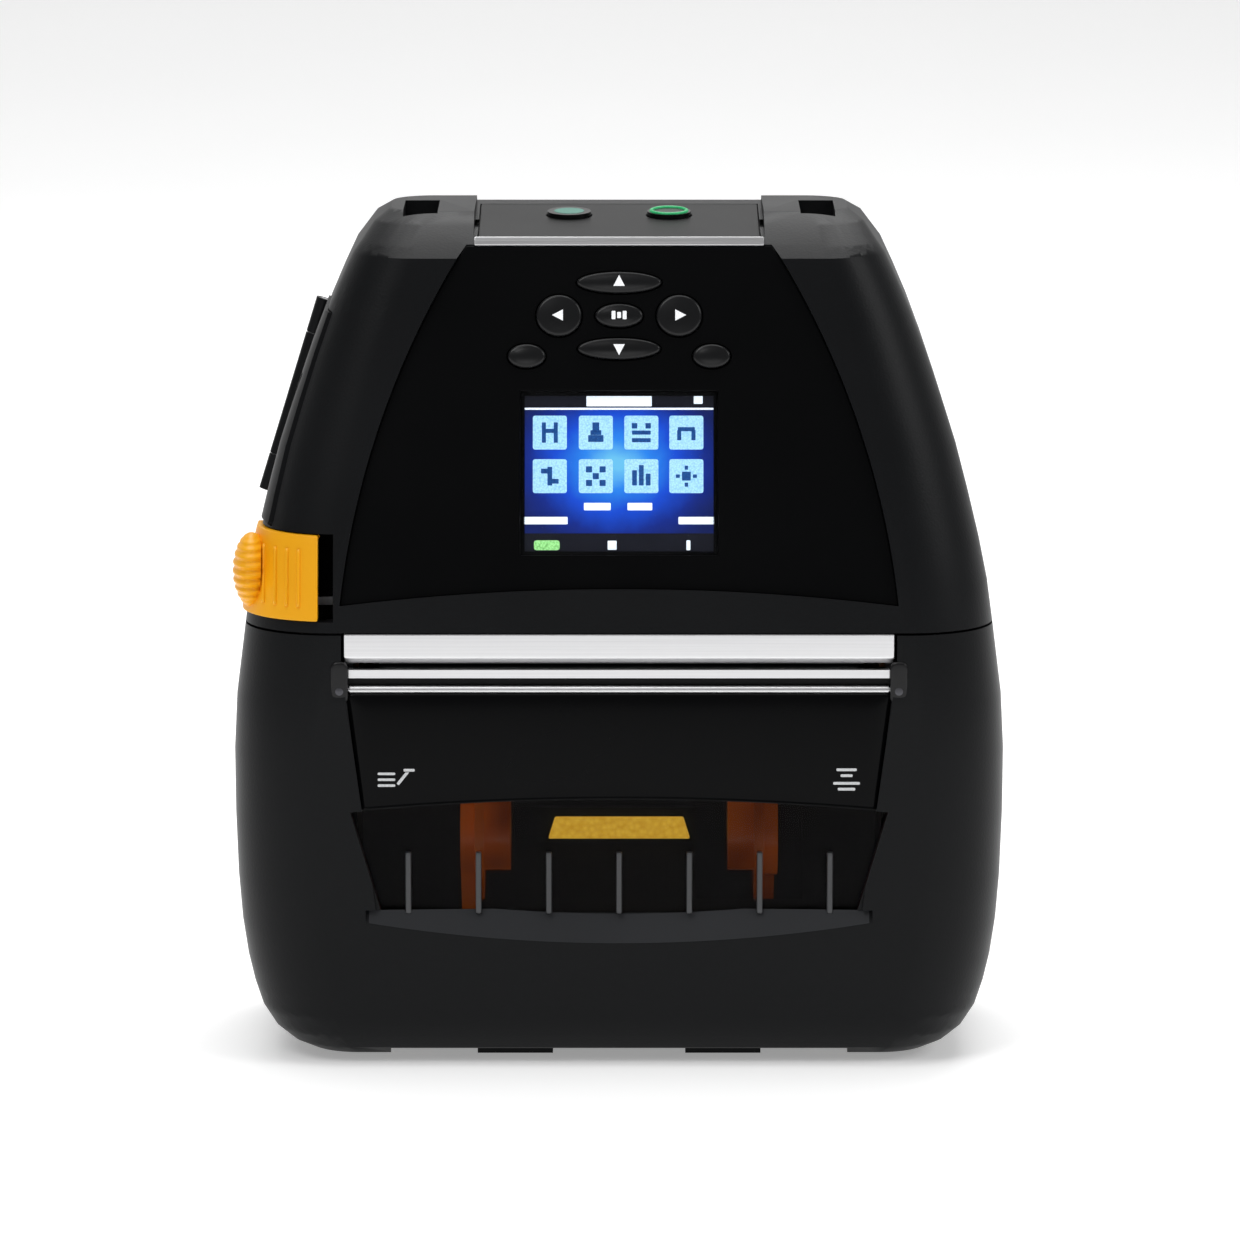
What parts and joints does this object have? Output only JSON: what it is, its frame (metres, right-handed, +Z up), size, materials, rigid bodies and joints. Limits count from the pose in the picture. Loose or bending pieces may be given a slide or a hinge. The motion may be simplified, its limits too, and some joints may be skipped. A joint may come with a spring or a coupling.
{
  "type": "portable label maker",
  "caption": "Handheld label maker with a tilted control panel, colour display, keys, hinged media cover with smoked window, platen drive, adjustable roll guides, battery and belt clip.",
  "frame": {"origin": "on the surface it stands on, below the middle of its overall box", "axes": "+Z up along its height, front with display and cover faces -Y, +X to the right of someone facing it"},
  "size_m": [0.168, 0.084, 0.1834],
  "materials": {
    "casing": "fine matt texture with a soft sheen",
    "battery_case": "fine matt texture",
    "smoked_window": "smoked clear plastic",
    "steel": "brushed",
    "bright_bar": "light satin",
    "aluminium": "satin",
    "platen_rubber": "ground rubber",
    "gear_plastic": "natural",
    "bay_plastic": "matt",
    "amber": "translucent amber",
    "yellow": "satin",
    "panel": "satin black",
    "lens": "clear",
    "display": "lit display",
    "board": "solder mask",
    "port": "matt",
    "key_rubber": "soft satin"
  },
  "bodies": {
    "housing": {"rear_housing": "casing", "upper_housing": "casing", "cover_hinge_pin": "steel", "print_frame": "steel", "tear_bar": "bright_bar", "head_pivot": "steel", "drive_motor": "steel", "gap_sensor": "board", "media_tub": "bay_plastic", "control_panel": "panel", "display_lens": "lens", "display_module": "display", "key_board": "board", "trim_bar": "bright_bar", "top_plate": "panel", "strap_bar_left": "steel", "strap_bar_right": "steel", "door_pin": "steel", "screws_upper": "steel", "screws_lower": "steel", "clip_pin": "steel", "main_board": "board", "port_block": "port"},
    "cover": {"media_cover": "casing", "cover_window": "smoked_window", "platen_bracket": "casing", "peel_bar": "bright_bar"},
    "platen": {"platen_roller": "platen_rubber", "platen_shaft": "steel", "platen_gear": "gear_plastic"},
    "peeler": {"peel_roller": "steel"},
    "idler": {"idler_gear": "gear_plastic"},
    "pinion": {"motor_pinion": "gear_plastic"},
    "head": {"print_head": "aluminium"},
    "latch": {"latch_button": "yellow", "latch_bar": "steel"},
    "door": {"port_door": "casing"},
    "guide_left": {"guide_arm_left": "amber", "guide_rack_left": "amber"},
    "guide_right": {"guide_arm_right": "amber", "guide_rack_right": "amber"},
    "guide_wheel": {"guide_pinion": "gear_plastic"},
    "disc_left": {"guide_disc_left": "amber"},
    "disc_right": {"guide_disc_right": "amber"},
    "lock": {"guide_lock": "yellow"},
    "battery_pack": {"battery": "battery_case"},
    "battery_catch": {"battery_latch": "casing"},
    "clip": {"belt_clip": "casing"},
    "key_up_body": {"key_up": "key_rubber"},
    "key_ok_body": {"key_ok": "key_rubber"},
    "key_down_body": {"key_down": "key_rubber"},
    "key_left_body": {"key_left": "key_rubber"},
    "key_right_body": {"key_right": "key_rubber"},
    "key_soft_left_body": {"key_soft_left": "key_rubber"},
    "key_soft_right_body": {"key_soft_right": "key_rubber"},
    "power_button_body": {"power_button": "key_rubber"},
    "feed_button_body": {"feed_button": "key_rubber"}
  },
  "joints": [
    {"name": "cover_swing", "type": "hinge", "parent": "housing", "child": "cover", "pos_m": [0, -0.026, 0.016], "axis": [1, 0, 0], "range_deg": [0, 80]},
    {"name": "platen_spin", "type": "hinge", "parent": "cover", "child": "platen", "pos_m": [0, -0.03, 0.082], "axis": [1, 0, 0], "continuous": true},
    {"name": "peel_spin", "type": "hinge", "parent": "cover", "child": "peeler", "pos_m": [0, -0.0399, 0.0834], "axis": [1, 0, 0], "continuous": true},
    {"name": "idler_spin", "type": "hinge", "parent": "housing", "child": "idler", "pos_m": [0.0625, -0.0147, 0.0836], "axis": [1, 0, 0], "continuous": true},
    {"name": "pinion_spin", "type": "hinge", "parent": "housing", "child": "pinion", "pos_m": [0.0625, -0.00469, 0.09142], "axis": [1, 0, 0], "continuous": true},
    {"name": "head_tilt", "type": "hinge", "parent": "housing", "child": "head", "pos_m": [0, -0.016, 0.093], "axis": [1, 0, 0], "range_deg": [-3, 0], "stiffness_Nm_per_rad": 2, "springref_deg": 1.72},
    {"name": "latch_press", "type": "slide", "parent": "housing", "child": "latch", "axis": [1, 0, 0], "range_m": [0, 0.003], "stiffness_N_per_m": 700, "springref_m": -0.001},
    {"name": "door_swing", "type": "hinge", "parent": "housing", "child": "door", "pos_m": [-0.0785, 0.011, 0.1184], "axis": [-0.2935, 0, -0.956], "range_deg": [0, 100]},
    {"name": "guide_move", "type": "slide", "parent": "housing", "child": "guide_left", "axis": [1, 0, 0], "range_m": [-0.006, 0.014]},
    {"name": "guide_follow", "type": "slide", "parent": "housing", "child": "guide_right", "axis": [1, 0, 0], "range_m": [-0.014, 0.006]},
    {"name": "guide_wheel_turn", "type": "hinge", "parent": "housing", "child": "guide_wheel", "pos_m": [0, 0.022, 0.011], "axis": [0, 0, 1], "range_deg": [-72, 168]},
    {"name": "disc_left_spin", "type": "hinge", "parent": "guide_left", "child": "disc_left", "pos_m": [-0.028, -0.0055, 0.045], "axis": [1, 0, 0], "continuous": true},
    {"name": "disc_right_spin", "type": "hinge", "parent": "guide_right", "child": "disc_right", "pos_m": [0.028, -0.0055, 0.045], "axis": [1, 0, 0], "continuous": true},
    {"name": "lock_move", "type": "slide", "parent": "housing", "child": "lock", "axis": [1, 0, 0], "range_m": [0, 0.0014]},
    {"name": "key_up_press", "type": "slide", "parent": "housing", "child": "key_up_body", "axis": [0, 0.9703, -0.2419], "range_m": [0, 0.0008], "stiffness_N_per_m": 1500, "springref_m": -0.0003},
    {"name": "key_ok_press", "type": "slide", "parent": "housing", "child": "key_ok_body", "axis": [0, 0.9703, -0.2419], "range_m": [0, 0.0008], "stiffness_N_per_m": 1500, "springref_m": -0.0003},
    {"name": "key_down_press", "type": "slide", "parent": "housing", "child": "key_down_body", "axis": [0, 0.9703, -0.2419], "range_m": [0, 0.0008], "stiffness_N_per_m": 1500, "springref_m": -0.0003},
    {"name": "key_left_press", "type": "slide", "parent": "housing", "child": "key_left_body", "axis": [0, 0.9703, -0.2419], "range_m": [0, 0.0008], "stiffness_N_per_m": 1500, "springref_m": -0.0003},
    {"name": "key_right_press", "type": "slide", "parent": "housing", "child": "key_right_body", "axis": [0, 0.9703, -0.2419], "range_m": [0, 0.0008], "stiffness_N_per_m": 1500, "springref_m": -0.0003},
    {"name": "key_soft_left_press", "type": "slide", "parent": "housing", "child": "key_soft_left_body", "axis": [0, 0.9703, -0.2419], "range_m": [0, 0.0008], "stiffness_N_per_m": 1500, "springref_m": -0.0003},
    {"name": "key_soft_right_press", "type": "slide", "parent": "housing", "child": "key_soft_right_body", "axis": [0, 0.9703, -0.2419], "range_m": [0, 0.0008], "stiffness_N_per_m": 1500, "springref_m": -0.0003},
    {"name": "power_button_press", "type": "slide", "parent": "housing", "child": "power_button_body", "axis": [0, 0.075, -0.9972], "range_m": [0, 0.0008], "stiffness_N_per_m": 1500, "springref_m": -0.0003},
    {"name": "feed_button_press", "type": "slide", "parent": "housing", "child": "feed_button_body", "axis": [0, 0.075, -0.9972], "range_m": [0, 0.0008], "stiffness_N_per_m": 1500, "springref_m": -0.0003},
    {"name": "battery_slide", "type": "slide", "parent": "housing", "child": "battery_pack", "axis": [0, 1, 0], "range_m": [0, 0.028]},
    {"name": "battery_catch_slide", "type": "slide", "parent": "housing", "child": "battery_catch", "axis": [0, 0, 1], "range_m": [0, 0.003], "stiffness_N_per_m": 300, "springref_m": -0.001},
    {"name": "clip_swing", "type": "hinge", "parent": "housing", "child": "clip", "pos_m": [0, 0.0394, 0.09], "axis": [1, 0, 0], "range_deg": [0, 12], "stiffness_Nm_per_rad": 0.3, "springref_deg": -3.44}
  ],
  "couplings": [
    {"joint": "idler_spin", "follows": "platen_spin", "ratio": -0.83333},
    {"joint": "pinion_spin", "follows": "platen_spin", "ratio": 1.6667},
    {"joint": "guide_follow", "follows": "guide_move", "ratio": -1},
    {"joint": "guide_wheel_turn", "follows": "guide_move", "rad_per_m": 208.33}
  ]
}
